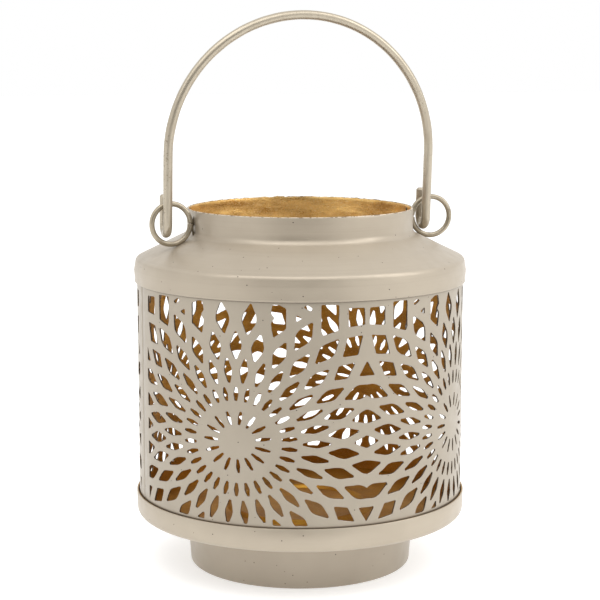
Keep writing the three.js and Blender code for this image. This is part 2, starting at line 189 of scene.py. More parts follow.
# Paint: two linear colours that it mottles between
SPUN_GREIGE = ((0.425, 0.366, 0.286), (0.40, 0.342, 0.266))
PRESSED_GREIGE = ((0.45, 0.388, 0.303), (0.425, 0.364, 0.283))
# The foot's copy of the greige is darker as painted shade, for the pan's shadow over it
SHADED_FOOT_GREIGE = ((0.40, 0.343, 0.27), (0.375, 0.32, 0.25))
SHEET_GREIGE = ((0.37, 0.322, 0.255), (0.35, 0.303, 0.238))
# The same gold paint in lit and shaded copies: the neck's is lighter, a painted highlight, and the sleeve's
# darker, painted shade deep inside
LIT_NECK_GOLD = ((0.95, 0.63, 0.22), (0.43, 0.21, 0.04))
SHADED_SLEEVE_GOLD = ((0.56, 0.29, 0.045), (0.36, 0.17, 0.022))
PAN_GOLD = ((0.55, 0.30, 0.035), (0.34, 0.165, 0.018))
# Bare cut edges, darkened further as painted shade in the openings' walls
CUT_BROWN_AND_SHADE = ((0.05, 0.03, 0.015), (0.15, 0.11, 0.07))
RIM_BROWN = ((0.12, 0.075, 0.035), (0.60, 0.52, 0.40))
RING_GREIGE = ((0.42, 0.36, 0.27), (0.34, 0.29, 0.21))
# Solder, darkened also as painted shadow in the gap between ring and neck
SOLDER_BROWN_AND_SHADOW = ((0.20, 0.16, 0.105), (0.08, 0.06, 0.035))
BAIL_GREIGE = ((0.46, 0.405, 0.315), (0.42, 0.365, 0.28))
FLOOR_WHITE = ((0.70, 0.70, 0.70), (0.72, 0.72, 0.72))

# How noise drives the paint
MOTTLE_RANGE = (0.35, 0.65)      # noise across this range turns one colour into the other
SHINE_RANGE = (0.3, 0.7)         # and across this range one roughness into another
GOLD_SHINE_SPREAD = 0.18         # between the gold's least and greatest roughness
BARE_BELOW = 0.5                 # on a cut edge, noise below this leaves bare metal
PAINTED_ABOVE = 0.62             # and noise above this leaves paint

# Marks on the paint
PIT_COLOR = (0.05, 0.04, 0.03)
PIT_CELLS = 480                  # to a metre
PIT_R = 0.085                    # in cells
PIT_COVER = 0.9
PITTED_FROM = 0.7                # cells that draw more than this have a pit
# Painted contact shadow: a dark line on the sleeve just under the shoulder's hem and just over the pan's lip
SEAM_SHADOW_COLOR = (0.07, 0.055, 0.04)
SEAM_SHADOW_COVER = 0.8
SEAM_SHADOW_REACH = 0.65 * MM          # it fades out over this
SEAM_SHADOW_OFFSET = 0.1 * MM          # past the edge whose contact shadow it paints
SPINNING_COLOR = (0.25, 0.21, 0.16)
SPINNING_COVER = 0.2
# Painted glints: pale gold put into the gold paint's grain as sparkle
PAINTED_GLINT_COLOR = (0.96, 0.76, 0.44)
RUBBED_COLOR = (0.13, 0.10, 0.06)
CHIP_COLOR = (0.12, 0.095, 0.06)
CHIP_COVER = 0.8
CHIP_LIKELIER = 0.2              # added to the noise where chips are thickest
CHIPPED_REACH = 17 * MM          # the bail's chips thin out over this
CHIPPED_FROM_BOX = (-9 * MM, 6 * MM, 23 * MM)   # their middle, from the low corner of the bail's CAD box

# Camera
CAMERA_AZIMUTH_DEG = -18.4
CAMERA_AZIMUTH = math.radians(CAMERA_AZIMUTH_DEG)
CAMERA_DISTANCE = 506.9 * MM
CAMERA_HEIGHT = 155.9 * MM
CAMERA_PITCH = math.radians(8.36)
CAMERA_LENS = 99.55
CAMERA_SENSOR = 36
CAMERA_NEAREST = 10 * MM
AWAY = Vector((-math.sin(CAMERA_AZIMUTH), math.cos(CAMERA_AZIMUTH), 0))   # level, from camera to holder

# Stage. Azimuth 0 is the holder's front and 90 its right; lengths are in metres and powers in watts.
SOFTBOXES = [
    dict(name="key_right", azimuth_deg=58, elevation_deg=38, width=0.4, height=0.8, power=3.1),
    dict(name="fill_left", azimuth_deg=-76, elevation_deg=52, width=0.3, height=0.8, power=1.3),
    dict(name="top_front", azimuth_deg=-18, elevation_deg=62, width=0.8, height=0.6, power=2.6),
]
SOFTBOX_DISTANCE = 0.9
FLAG_ELEVATION_DEG = 4
FLAG_DISTANCE = 0.75
FLAG_WIDTH = 0.8
FLAG_HEIGHT = 0.85
FLAG_BLACK = (0.02, 0.02, 0.02, 1)
LIT_HEIGHT = 0.06                # the lights and the flag face this height on the axis
WHITE = (1, 1, 1, 1)
WORLD_STRENGTH = 1.0
FLOOR_SIZE = 12.0
FLOOR_GLOW = 0.5                 # lights the floor from below, as a light table does

_, foot_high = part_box("foot_ring")
pan_low, pan_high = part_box("base_pan")
sleeve_low, sleeve_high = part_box("perforated_sleeve")
collar_low, collar_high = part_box("shoulder_collar")
BODY_R = sleeve_high.x
SLEEVE_LENGTH = 2 * math.pi * BODY_R / MM
PLAIN_STRIP = SLEEVE_LENGTH - SUNS * SUN_PITCH
SUN_Z = sleeve_low.z / MM + SUN_HEIGHT
START_ANGLE = FIRST_SUN_ANGLE - (PLAIN_STRIP / 2 + SUN_HALF) * MM / BODY_R


# ---- outlines ----

def rounded(corners, closed, step_deg=15):
    """The points of a line whose corners, given as (x, y, radius), are turned into arcs."""
    points = []
    last = len(corners) - 1
    for i, (x, y, radius) in enumerate(corners):
        if radius == 0 or (not closed and i in (0, last)):
            points.append((x, y))
            continue
        here = Vector((x, y))
        before = Vector(corners[i - 1][:2]) - here
        after = Vector(corners[(i + 1) % len(corners)][:2]) - here
        half_angle = before.angle(after) / 2
        if half_angle > STRAIGHT:
            points.append((x, y))
            continue
        reach = radius / math.tan(half_angle)
        longest = LONGEST_ARC * min(before.length, after.length)
        if reach > longest:
            radius *= longest / reach
            reach = longest
        start = here + before.normalized() * reach
        end = here + after.normalized() * reach
        inward = (before.normalized() + after.normalized()).normalized()
        centre = here + inward * radius / math.sin(half_angle)
        turn = (start - centre).angle_signed(end - centre)
        steps = max(1, round(abs(math.degrees(turn)) / step_deg))
        for k in range(steps + 1):
            spoke = (start - centre).copy()
            spoke.rotate(Matrix.Rotation(-turn * k / steps, 2))
            points.append(tuple(centre + spoke))
    return points


def offset(path, distance, closed=False):
    """The path moved to its left by the distance."""
    moved = []
    last = len(path) - 1
    for i, (x, y) in enumerate(path):
        here = Vector((x, y))
        before = path[i - 1] if closed else path[max(i - 1, 0)]
        after = path[(i + 1) % len(path)] if closed else path[min(i + 1, last)]
        arriving = (here - Vector(before)).normalized()
        leaving = (Vector(after) - here).normalized()
        if arriving.length == 0:
            arriving = leaving
        if leaving.length == 0:
            leaving = arriving
        along = (arriving + leaving).normalized()
        reach = distance / max(along.dot(leaving), LEAST_MITRE)
        moved.append((x - along.y * reach, y + along.x * reach))
    return moved


# ---- meshes ----

def piece(name, vertices, faces, body, replaced):
    """A smooth mesh object that rides on a body. Each face is its vertex numbers and a material number."""
    mesh = bpy.data.meshes.new(name)
    mesh.from_pydata(vertices, [], [face for face, _ in faces])
    mesh.polygons.foreach_set("material_index", [material for _, material in faces])
    mesh.polygons.foreach_set("use_smooth", [True] * len(faces))
    mesh.update()
    mesh.set_sharp_from_angle(angle=SHARP)
    obj = bpy.data.objects.new(name, mesh)
    bpy.context.scene.collection.objects.link(obj)
    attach(obj, body)
    if replaced:
        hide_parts(*replaced)
    return obj


def spun(name, outer, replaced, trim=None):
    """Spun sheet metal: the outer path of (radius, z) and its inner face, joined by rounded edges.

    trim(point) is how far a point of the mesh is lifted. With it, the edge at the path's end is bare.
    """
    inner = offset(outer, SHEET)
    start_cap = edge_arc(inner[0], outer[0])
    end_cap = edge_arc(outer[-1], inner[-1])
    loop = [*outer, *end_cap, *reversed(inner), *start_cap]
    count = len(loop)
    vertices = []
    for i in range(ROUND_STEPS):
        angle = 2 * math.pi * i / ROUND_STEPS
        way = Vector((math.cos(angle), math.sin(angle), 0))
        for r, z in loop:
            point = way * max(r, 0) + Vector((0, 0, z))
            if trim:
                point.z += trim(point)
            vertices.append(point)

    edge_from = len(outer) - 1
    edge_to = len(outer) + len(end_cap)
    inside_from = len(outer) + len(end_cap) // 2
    inside_to = edge_to + len(inner)
    faces = []
    for i in range(ROUND_STEPS):
        j = (i + 1) % ROUND_STEPS
        for k in range(count):
            m = (k + 1) % count
            if loop[k][0] <= 0 and loop[m][0] <= 0:
                continue
            material = INSIDE if inside_from <= k < inside_to else OUTSIDE
            if trim and edge_from <= k < edge_to:
                material = BARE
            faces.append(((i * count + k, j * count + k, j * count + m, i * count + m), material))
    obj = piece(name, vertices, faces, "body", replaced)
    weld(obj)
    return obj


def edge_arc(start, end, steps=4):
    """Points of a flattened half round that bulges beyond the edge of a sheet, without its two ends."""
    start = Vector(start)
    end = Vector(end)
    middle = (start + end) / 2
    across = start - middle
    outward = Vector((across.y, -across.x)) * EDGE_BULGE
    points = []
    for k in range(1, steps):
        angle = math.pi * k / steps
        points.append(tuple(middle + across * math.cos(angle) - outward * math.sin(angle)))
    return points


def weld(obj):
    """Joins points that coincide, on a spun sheet's axis or at the sleeve's seam, and drops empty faces."""
    mesh = bmesh.new()
    mesh.from_mesh(obj.data)
    bmesh.ops.remove_doubles(mesh, verts=mesh.verts, dist=SAME_PLACE)
    bmesh.ops.dissolve_degenerate(mesh, edges=mesh.edges, dist=TINY)
    mesh.to_mesh(obj.data)
    mesh.free()


def swept(name, points, diameter, body, replaced, roughness):
    """A round wire along the points, with chamfered ends and a slightly lumpy surface."""
    last = len(points) - 1
    tangents = []
    for i in range(len(points)):
        tangents.append((points[min(i + 1, last)] - points[max(i - 1, 0)]).normalized())
    radius = diameter / 2
    side = tangents[0].orthogonal().normalized()
    circles = []
    for point, along in zip(points, tangents):
        side = (side - along * side.dot(along)).normalized()
        circles.append((point, side, along.cross(side), radius))

    chamfer = WIRE_CHAMFER * diameter
    start, start_u, start_v, _ = circles[0]
    end, end_u, end_v, _ = circles[-1]
    circles[0] = (start + tangents[0] * chamfer, start_u, start_v, radius)
    circles[-1] = (end - tangents[-1] * chamfer, end_u, end_v, radius)
    circles.insert(0, (start, start_u, start_v, radius - chamfer))
    circles.append((end, end_u, end_v, radius - chamfer))

    vertices = []
    for point, u, v, size in circles:
        for k in range(WIRE_SIDES):
            angle = 2 * math.pi * k / WIRE_SIDES
            way = u * math.cos(angle) + v * math.sin(angle)
            spot = point + way * size
            vertices.append(spot + way * roughness * (noise.noise(spot * WIRE_LUMPS) - WIRE_SUNK))
    faces = []
    for i in range(len(circles) - 1):
        a = i * WIRE_SIDES
        b = a + WIRE_SIDES
        for k in range(WIRE_SIDES):
            m = (k + 1) % WIRE_SIDES
            faces.append(((a + k, a + m, b + m, b + k), OUTSIDE))
    first_of_last = len(vertices) - WIRE_SIDES
    faces.append((tuple(reversed(range(WIRE_SIDES))), OUTSIDE))
    faces.append((tuple(range(first_of_last, len(vertices))), OUTSIDE))
    return piece(name, vertices, faces, body, replaced)


# ---- spun pieces ----

def foot():
    """The foot: a wall that tapers down to the table, with a flange turned in at its top and bottom."""
    top = foot_high.z
    base_r = foot_high.x - FOOT_TAPER
    corners = [
        (base_r - FOOT_EDGE_R - FOOT_FLANGE, 0, 0),
        (base_r, 0, FOOT_EDGE_R),
        (foot_high.x, top, FOOT_EDGE_R),
        (foot_high.x - FOOT_EDGE_R - FOOT_FLANGE, top, 0),
    ]
    return spun("foot_wall", rounded(corners, False), ["foot_ring"])


def pan():
    """The dish that the sleeve stands in, with a raised bead around the tealight's place."""
    low = pan_low.z
    bead = []
    for i in range(BEAD_STEPS + 1):
        t = i / BEAD_STEPS
        r = BEAD_R + BEAD_HALF_WIDTH * (2 * t - 1)
        bead.append((r, low + BEAD_HEIGHT * math.sin(t * math.pi) ** 2, 0))
    corners = [
        (0, low, 0),
        *bead,
        (pan_high.x - PAN_FLARE, low, PAN_CORNER_R),
        (pan_high.x, pan_high.z, 0),
    ]
    return spun("pan_dish", rounded(corners, False), ["base_pan"])


def shoulder():
    """The skirt, cone and neck in one sheet, from the hem up to the rim."""
    hem = collar_low.z
    rim = collar_high.z
    widest = collar_high.x
    corner_r = widest - SHOULDER_INSET
    corner_z = hem + SHOULDER_RISE
    neck_z = corner_z + (corner_r - NECK_R) * math.tan(CONE_SLOPE)
    corners = [
        (widest - SKIRT_TAPER + HEM_LIP, hem, 0),
        (widest - SKIRT_TAPER, hem + HEM_LIP_HEIGHT, HEM_R),
        (widest, hem + SKIRT_HEIGHT, SKIRT_R),
        (corner_r, corner_z, SHOULDER_R),
        (NECK_R - NECK_WAIST, neck_z, NECK_FILLET_R),
        (NECK_R - NECK_WAIST, neck_z + NECK_WAIST_HEIGHT, NECK_BEND_R),
        (NECK_R + NECK_SWELL, neck_z + NECK_SWELL_HEIGHT, NECK_BEND_R),
        (NECK_R, rim - RIM_DEPTH, 0),
        (NECK_R, rim - RIM_DEPTH / 2, 0),
        (NECK_R, rim, 0),
    ]

    def trim(point):
        """The neck's edge is cut by hand: even in front, rougher and higher behind."""
        near_rim = max(0, 1 - (rim - point.z) / RIM_DEPTH)
        way = Vector((point.x, point.y, 0)).normalized()
        behind = max(0, way.dot(AWAY)) ** 2
        slow = noise.noise(way * NECK_R * RIM_SLOW_WAVES)
        quick = noise.noise(way * NECK_R * RIM_QUICK_WAVES)
        rough = slow + RIM_QUICK_SHARE * quick
        ragged = RIM_ROUGHNESS * rough * near_rim * (RIM_FRONT_SHARE + behind)
        return near_rim * (RIM_LIFT * behind + ragged)

    path = rounded(corners, False, SHOULDER_ARC_STEP)
    return spun("shoulder", path, ["shoulder_collar"], trim)


# ---- pierced sleeve ----

def petal(ring, angle_deg):
    """One opening of a sun's ring: a lozenge on its radial line, with blunt tips and curved sides."""
    tip, waist = ring["half_tip"], ring["half_width"]
    inner, outer = ring["inner"], ring["outer"]
    middle = (inner + outer) / 2
    corners = [
        (inner, tip, TIP_R),
        (inner, -tip, TIP_R),
        (middle, -waist, WAIST_R),
        (outer, -tip, TIP_R),
        (outer, tip, TIP_R),
        (middle, waist, WAIST_R),
    ]
    angle = math.radians(angle_deg)
    points = []
    for out, across in rounded(corners, True, PETAL_ARC_STEP):
        x = out * math.cos(angle) - across * math.sin(angle)
        z = out * math.sin(angle) + across * math.cos(angle)
        points.append((x * ring["stretch"], z))
    return points


def clip(outline, axis, sign, limit):
    """The part of an outline where its coordinate times sign is at most the limit."""
    kept = []
    for i, point in enumerate(outline):
        following = outline[(i + 1) % len(outline)]
        depth = limit - sign * point[axis]
        next_depth = limit - sign * following[axis]
        if depth >= 0:
            kept.append(point)
        if depth * next_depth < 0:
            t = depth / (depth - next_depth)
            cut = [point[0] + t * (following[0] - point[0]), point[1] + t * (following[1] - point[1])]
            cut[axis] = sign * limit
            kept.append(tuple(cut))
    return kept


def area(outline):
    """The area inside an outline, negative if it runs clockwise."""
    twice = 0
    for i, (x, z) in enumerate(outline):
        next_x, next_z = outline[(i + 1) % len(outline)]
        twice += x * next_z - next_x * z
    return twice / 2


def mirrored(outline, about_x):
    return [(2 * about_x - x, z) for x, z in reversed(outline)]


def upside_down(outline):
    return [(x, -z) for x, z in reversed(outline)]


def joined(outline):
    """An outline that crosses the line between two suns, joined to its own mirror image there."""
    half = clip(outline, 0, 1, SUN_HALF)
    on_line = [x == SUN_HALF for x, _ in half]
    start = next(i for i in range(len(half)) if on_line[i] and on_line[i - 1])
    chain = half[start:] + half[:start]
    whole = chain + mirrored(chain, SUN_HALF)[1:-1]
    flat_there = abs(chain[0][1] - whole[-1][1]) < SAME_PLACE
    if flat_there:
        whole = whole[1:]
    return whole


def sun_openings():
    """The openings of one sun: those inside its panel, and those that cross its right-hand edge."""
    inside = []
    crossing = [TENT, upside_down(TENT)]
    for ring in SUN_RINGS:
        for i in range(ring["count"]):
            angle = ring["phase"] + 360 / ring["count"] * i
            fold = round(min(angle % 180, 180 - angle % 180))
            if ring["kept"] and fold not in ring["kept"]:
                continue
            outline = clip(clip(petal(ring, angle), 1, -1, -CUT_BOTTOM), 1, 1, CUT_TOP)
            if len(outline) < 3 or abs(area(outline)) < SMALLEST_OPENING:
                continue
            if max(x for x, _ in outline) > SUN_HALF:
                crossing.append(outline)
            elif min(x for x, _ in outline) >= -SUN_HALF:
                inside.append(outline)
    for below, outline in CORNER_OPENINGS:
        both = [outline, mirrored(outline, 0)]
        inside.extend(both)
        if below:
            inside.extend(upside_down(one) for one in both)
    return inside, crossing


def sheet_openings():
    """Every opening on the flat sheet, in millimetres, the same way round."""
    inside, crossing = sun_openings()
    placed = []
    for sun in range(SUNS):
        sun_x = PLAIN_STRIP / 2 + SUN_PITCH * (sun + 0.5)
        last = sun == SUNS - 1
        of_sun = list(inside)
        of_sun.extend(clip(one, 0, 1, SUN_HALF) if last else joined(one) for one in crossing)
        if sun == 0:
            of_sun.extend(mirrored(clip(one, 0, 1, SUN_HALF), 0) for one in crossing)
        for outline in of_sun:
            turned = outline if area(outline) > 0 else list(reversed(outline))
            placed.append([(sun_x + x, SUN_Z + z) for x, z in turned])
    return placed


def cut_edge(outline):
    """An opening as it is really cut: corners a little round, sharp tips less so, edges a little uneven."""
    corners = []
    for i, (x, z) in enumerate(outline):
        here = Vector((x, z))
        before = Vector(outline[i - 1]) - here
        after = Vector(outline[(i + 1) % len(outline)]) - here
        corners.append((x, z, CORNER_R * math.sin(before.angle(after) / 2)))
    smooth = rounded(corners, True, CUT_ARC_STEP)
    points = []
    for i, (x, z) in enumerate(smooth):
        next_x, next_z = smooth[(i + 1) % len(smooth)]
        steps = max(1, round(math.hypot(next_x - x, next_z - z) / EDGE_STEP))
        for k in range(steps):
            t = k / steps
            spot = Vector((x + (next_x - x) * t, z + (next_z - z) * t, 0))
            slow = noise.noise_vector(spot * EDGE_SLOW_WAVES)
            quick = noise.noise_vector(spot * EDGE_QUICK_WAVES)
            spot += EDGE_WANDER * (slow + EDGE_QUICK_SHARE * quick)
            points.append((spot.x, spot.y))
    return points


def sheet_border(along, low, high):
    """The flat sheet's outline, with a point at each place along it and at each row."""
    tall = high - low
    inner_rows = range(1, SHEET_ROWS)
    border = [(x, low) for x in along]
    border += [(SLEEVE_LENGTH, low + tall * k / SHEET_ROWS) for k in inner_rows]
    border += [(x, high) for x in reversed(along)]
    border += [(0, high - tall * k / SHEET_ROWS) for k in inner_rows]
    return border


def sheet_grid(beside_seam, low, high):
    """Points inside the flat sheet, staggered and along the seam's groove, that keep its triangles small."""
    tall = high - low
    inner_rows = range(1, SHEET_ROWS)
    grid = []
    for i in range(1, SHEET_COLUMNS):
        for k in inner_rows:
            grid.append((SLEEVE_LENGTH * (i + 0.5 * (k % 2)) / SHEET_COLUMNS, low + tall * k / SHEET_ROWS))
    grid.extend((x, low + tall * k / SHEET_ROWS) for x in beside_seam for k in inner_rows)
    return grid


def triangulated(border, openings, grid):
    """Fills the sheet around its openings: its points, its triangles and each opening's point numbers."""
    flat = []
    loops = []
    for loop in [border, *openings]:
        loops.append(list(range(len(flat), len(flat) + len(loop))))
        flat.extend(loop)
    flat.extend(grid)
    made = delaunay_2d_cdt([Vector(point) for point in flat], [], loops, INSIDE_LOOPS, TINY)
    points, triangles, sources, origins = made[0], made[2], made[3], made[5]
    cut_numbers = set(range(1, len(loops)))
    kept = [face for face, origin in zip(triangles, origins) if not cut_numbers & set(origin)]
    found = {}
    for number, source in enumerate(sources):
        for original in source:
            found[original] = number
    return points, kept, [[found[original] for original in loop] for loop in loops[1:]]


def rolled(x, z, depth):
    """The place on the sleeve of a point of the flat sheet, at a depth under its outer face."""
    angle = START_ANGLE + x * MM / BODY_R
    from_seam = min(x, SLEEVE_LENGTH - x)
    radius = BODY_R - depth - SEAM_DEPTH * max(0, 1 - from_seam / SEAM_HALF_WIDTH)
    return Vector((radius * math.sin(angle), -radius * math.cos(angle), z * MM))


def opening_wall(around, first, to_inner):
    """The faces that line one opening: an outer bevel, the cut wall and an inner bevel.

    around lists the opening's points on the outer face, and adding to_inner gives those on the inner face.
    The points at the two ends of the wall are numbered from first.
    """
    size = len(around)
    faces = []
    for i in range(size):
        j = (i + 1) % size
        outer_i, outer_j = around[i], around[j]
        upper_i, upper_j = first + i, first + j
        lower_i, lower_j = upper_i + size, upper_j + size
        faces.append(((outer_j, outer_i, upper_i, upper_j), OUTSIDE))
        faces.append(((upper_j, upper_i, lower_i, lower_j), BARE))
        faces.append(((lower_j, lower_i, outer_i + to_inner, outer_j + to_inner), INSIDE))
    return faces


def sleeve():
    """The pierced sheet, triangulated flat on a grid of extra points and then rolled."""
    low, high = sleeve_low.z / MM, sleeve_high.z / MM
    beside_seam = [SEAM_HALF_WIDTH, SLEEVE_LENGTH - SEAM_HALF_WIDTH]
    columns = [SLEEVE_LENGTH * i / SHEET_COLUMNS for i in range(SHEET_COLUMNS + 1)]
    border = sheet_border(sorted(columns + beside_seam), low, high)
    edges = [cut_edge(outline) for outline in sheet_openings()]
    bevelled = [offset(edge, -EDGE_BEVEL / MM, True) for edge in edges]
    points, triangles, openings = triangulated(border, bevelled, sheet_grid(beside_seam, low, high))

    count = len(points)
    vertices = [rolled(x, z, 0) for x, z in points]
    vertices += [rolled(x, z, SHEET) for x, z in points]
    faces = []
    for a, b, c in triangles:
        faces.append(((a, b, c), OUTSIDE))
        faces.append(((c + count, b + count, a + count), INSIDE))
    for around, edge in zip(openings, edges):
        first = len(vertices)
        vertices.extend(rolled(x, z, EDGE_BEVEL) for x, z in edge)
        vertices.extend(rolled(x, z, SHEET - EDGE_BEVEL) for x, z in edge)
        faces.extend(opening_wall(around, first, count))
    obj = piece("pierced_sleeve", vertices, faces, "body", ["perforated_sleeve"])
    weld(obj)
    return obj


# ---- wires ----

def ring(name, node):
    """A carrying ring: bent wire whose two ends meet against the neck."""
    low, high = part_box(node)
    centre = (low + high) / 2
    radius = (high.z - low.z - RING_WIRE) / 2
    outward = Vector((centre.x, centre.y, 0)).normalized()
    up = Vector((0, 0, 1))
    points = []
    for i in range(RING_STEPS + 1):
        angle = math.pi + RING_GAP + (2 * math.pi - 2 * RING_GAP) * i / RING_STEPS
        points.append(centre + outward * radius * math.cos(angle) + up * radius * math.sin(angle))
    return swept(name, points, RING_WIRE, "body", [node], WIRE_ROUGHNESS)


def solder(name, node):
    """The lumpy bead of solder that holds a ring to the neck, painted dark also as the shadow in the gap
    between ring and neck.
    """
    low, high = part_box(node)
    centre = (low + high) / 2
    way = Vector((centre.x, centre.y, 0)).normalized()
    points = []
    for i in range(SOLDER_STEPS + 1):
        t = 2 * i / SOLDER_STEPS - 1
        out = NECK_R + SOLDER_WIDTH * (SOLDER_PROUD - SOLDER_CURVE * t * t)
        points.append(way * out + Vector((0, 0, centre.z - SOLDER_DROP + SOLDER_HALF_HEIGHT * t)))
    return swept(name, points, SOLDER_WIDTH, "body", (), SOLDER_ROUGHNESS)


def bail():
    """The bail, from one hook's tail over the arch to the other's, and then leant forward."""
    hinge = Vector(frame["joints"][0]["pos_m"])
    back = Vector((math.sin(HOOK_TWIST), math.cos(HOOK_TWIST), 0))
    up = Vector((0, 0, 1))
    hook_r = HOOK_SPACING / 2
    hook_z = HOOK_BOTTOM + BAIL_WIRE / 2 + hook_r
    arch_z = BAIL_TOP - BAIL_WIRE / 2 - BAIL_HALF_WIDTH

    def beside(side, behind, z):
        """A place beside the neck: side is -1 at the left hook and 1 at the right one."""
        return Vector((BAIL_SIDE_PLAY + side * BAIL_HALF_WIDTH, 0, 0)) + back * behind + up * z

    def hook(side):
        """A hook, from its tail down and round to the foot of its leg."""
        made = [beside(side, hook_r, HOOK_TAIL), beside(side, hook_r, (HOOK_TAIL + hook_z) / 2)]
        for i in range(HOOK_STEPS + 1):
            angle = math.pi * i / HOOK_STEPS
            made.append(beside(side, hook_r * math.cos(angle), hook_z - hook_r * math.sin(angle)))
        return made

    def leg(side):
        """A leg, without its two ends."""
        tall = arch_z - hook_z
        return [beside(side, -hook_r, hook_z + tall * i / LEG_STEPS) for i in range(1, LEG_STEPS)]

    arch = []
    for i in range(ARCH_STEPS + 1):
        angle = math.pi * i / ARCH_STEPS
        arch.append(beside(-math.cos(angle), -hook_r, arch_z + BAIL_HALF_WIDTH * math.sin(angle)))
    points = [*hook(-1), *leg(-1), *arch, *reversed(leg(1)), *reversed(hook(1))]
    lean = Matrix.Rotation(BAIL_LEAN, 3, "X")
    leant = [hinge + lean @ point for point in points]
    return swept("bail_wire", leant, BAIL_WIRE, "bail", ["bail_handle"], WIRE_ROUGHNESS)


# ---- materials ----

class Nodes:
    """A material's node tree, with short calls to add and join nodes."""

    MIX_AMOUNT, MIX_FIRST, MIX_SECOND, MIX_RESULT = 0, 6, 7, 2   # a Mix node's sockets when it mixes colours

    def __init__(self, name):
        self.material = bpy.data.materials.new(name)
        self.material.use_nodes = True
        self.tree = self.material.node_tree
        self.shader = self.tree.nodes["Principled BSDF"]
        self.place = self.add("ShaderNodeTexCoord").outputs["Object"]

    def add(self, kind, **inputs):
        """A new node. Each keyword is an input's name, with _ for a space."""
        node = self.tree.nodes.new(kind)
        for key, value in inputs.items():
            self.set(node, key.replace("_", " "), value)
        return node

    def set(self, node, name, value):
        """Joins or sets a node's input, given by its name or number."""
        if isinstance(value, bpy.types.NodeSocket):
            self.tree.links.new(value, node.inputs[name])
        else:
            node.inputs[name].default_value = value

    def noise(self, scale, detail=2.0, roughness=0.5, stretch=None):
        """Noise with scale lumps to a metre, times the stretch along each axis."""
        place = self.place
        if stretch:
            mapping = self.add("ShaderNodeMapping", Vector=place, Scale=stretch)
            place = mapping.outputs["Vector"]
        made = self.add("ShaderNodeTexNoise", Vector=place, Scale=scale, Detail=detail, Roughness=roughness)
        return made.outputs["Fac"]

    def near_point(self, point, reach):
        """1 at a point, fading to 0 the given reach away from it."""
        node = self.tree.nodes.new("ShaderNodeVectorMath")
        node.operation = "DISTANCE"
        self.set(node, 0, self.place)
        self.set(node, 1, point)
        return self.ramp(node.outputs["Value"], reach, 0)

    def near_height(self, height, reach):
        """1 at a height, fading to 0 the given reach above and below it."""
        z = self.add("ShaderNodeSeparateXYZ", Vector=self.place).outputs["Z"]
        away = self.math("ABSOLUTE", self.math("SUBTRACT", z, height), 0)
        return self.ramp(away, reach, 0)

    def specks(self, scale, size):
        """1 in small round specks, 0 elsewhere."""
        cells = self.add("ShaderNodeTexVoronoi", Vector=self.place, Scale=scale)
        chance = self.add("ShaderNodeSeparateColor", Color=cells.outputs["Color"]).outputs["Red"]
        reach = self.math("MULTIPLY", self.math("GREATER_THAN", chance, PITTED_FROM), size)
        return self.math("LESS_THAN", cells.outputs["Distance"], reach)

    def math(self, operation, a, b):
        node = self.tree.nodes.new("ShaderNodeMath")
        node.operation = operation
        self.set(node, 0, a)
        self.set(node, 1, b)
        return node.outputs["Value"]

    def ramp(self, value, low, high, to_low=0.0, to_high=1.0):
        """The value, with low to high spread over to_low to to_high and cut off beyond them."""
        node = self.add("ShaderNodeMapRange", Value=value)
        for name, number in (("From Min", low), ("From Max", high), ("To Min", to_low), ("To Max", to_high)):
            node.inputs[name].default_value = number
        return node.outputs["Result"]

    def blend(self, amount, first, second):
        """A colour that turns from the first to the second as the amount goes from 0 to 1."""
        node = self.tree.nodes.new("ShaderNodeMix")
        node.data_type = "RGBA"
        self.set(node, self.MIX_AMOUNT, amount)
        for number, color in ((self.MIX_FIRST, first), (self.MIX_SECOND, second)):
            self.set(node, number, (*color, 1) if isinstance(color, tuple) else color)
        return node.outputs[self.MIX_RESULT]

    def bump(self, height, distance, strength=1.0, under=None):
        node = self.add("ShaderNodeBump", Height=height, Distance=distance, Strength=strength)
        if under:
            self.set(node, "Normal", under)
        return node.outputs["Normal"]

    def finish(self, color, roughness, metallic, normal):
        self.set(self.shader, "Base Color", color)
        self.set(self.shader, "Roughness", roughness)
        self.set(self.shader, "Metallic", metallic)
        self.set(self.shader, "Normal", normal)
        return self.material


def greige_paint(name, colors, spin, shadowed_heights=()):
    """Satin sprayed paint: faint mottling, orange peel, pin-head pits and, where it was spun, fine rings.

    A dark line of painted contact shadow runs along the shadowed heights, where one piece meets the next.
    """
    nodes = Nodes(name)
    mottle = nodes.noise(scale=55, detail=3)
    color = nodes.blend(nodes.ramp(mottle, *MOTTLE_RANGE), *colors)
    pits = nodes.specks(PIT_CELLS, PIT_R)
    color = nodes.blend(nodes.math("MULTIPLY", pits, PIT_COVER), color, PIT_COLOR)
    # painted contact shadow along each seam
    for height in shadowed_heights:
        seam_shadow = nodes.math("MULTIPLY", nodes.near_height(height, SEAM_SHADOW_REACH), SEAM_SHADOW_COVER)
        color = nodes.blend(seam_shadow, color, SEAM_SHADOW_COLOR)
    peel = nodes.noise(scale=900, detail=2)
    rings = nodes.noise(scale=1, detail=3, roughness=0.6, stretch=(14, 14, 1300))
    shown = nodes.ramp(rings, low=0.5, high=0.75, to_high=SPINNING_COVER * spin)
    color = nodes.blend(shown, color, SPINNING_COLOR)
    normal = nodes.bump(peel, distance=0.02 * MM, strength=0.55)
    normal = nodes.bump(rings, distance=0.06 * MM, strength=spin, under=normal)
    normal = nodes.bump(pits, distance=-0.1 * MM, strength=0.8, under=normal)
    roughness = nodes.ramp(nodes.noise(scale=240, detail=3), *SHINE_RANGE, to_low=0.32, to_high=0.44)
    return nodes.finish(color, roughness, metallic=0.35, normal=normal)


